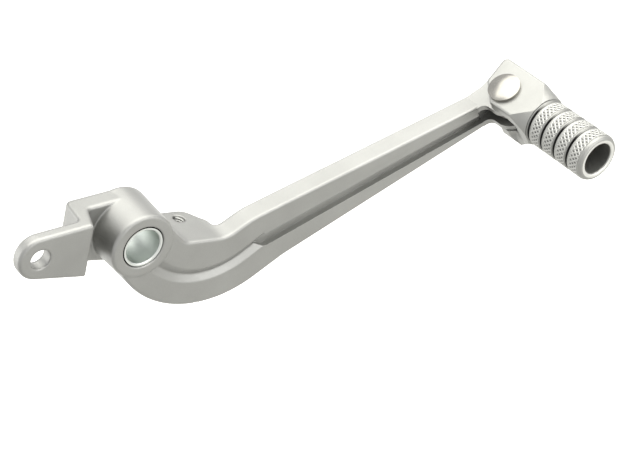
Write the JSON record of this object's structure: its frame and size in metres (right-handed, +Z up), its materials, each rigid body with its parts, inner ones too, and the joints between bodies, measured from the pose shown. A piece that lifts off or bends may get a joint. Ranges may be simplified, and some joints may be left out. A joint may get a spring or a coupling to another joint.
{
  "type": "brake pedal",
  "caption": "Cast motorbike rear brake pedal: bushed pivot boss, stepped crank with pushrod hole, curved arm and a sprung folding toe peg with knurled grip bands.",
  "frame": {"origin": "centre of the pivot bush's bore, on its axis", "axes": "+X along the straight part of the arm from the pivot to the toe, -Y along the pivot's axis to the outer side of the bike, where the toe peg points, +Z up"},
  "size_m": [0.2296, 0.0765, 0.0673],
  "materials": {
    "cast_arm": "bead-blasted satin silver",
    "toe_alloy": "bead-blasted satin silver",
    "bush_steel": "smooth zinc-plated bore",
    "pin_steel": "polished",
    "spring_steel": "drawn wire"
  },
  "bodies": {
    "arm": {"pedal_arm": "cast_arm", "pivot_bush": "bush_steel", "return_spring": "spring_steel"},
    "toe": {"toe_peg": "toe_alloy", "hinge_pin": "pin_steel", "pin_washer": "pin_steel", "retaining_ring": "spring_steel"}
  },
  "joints": [
    {"name": "toe_fold", "type": "hinge", "parent": "arm", "child": "toe", "pos_m": [0.1689, -0.0154, -0.0226], "axis": [0.3256, 0, -0.9455], "range_deg": [0, 60], "stiffness_Nm_per_rad": 0.35, "springref_deg": -34.38, "deforming": ["return_spring"]}
  ]
}
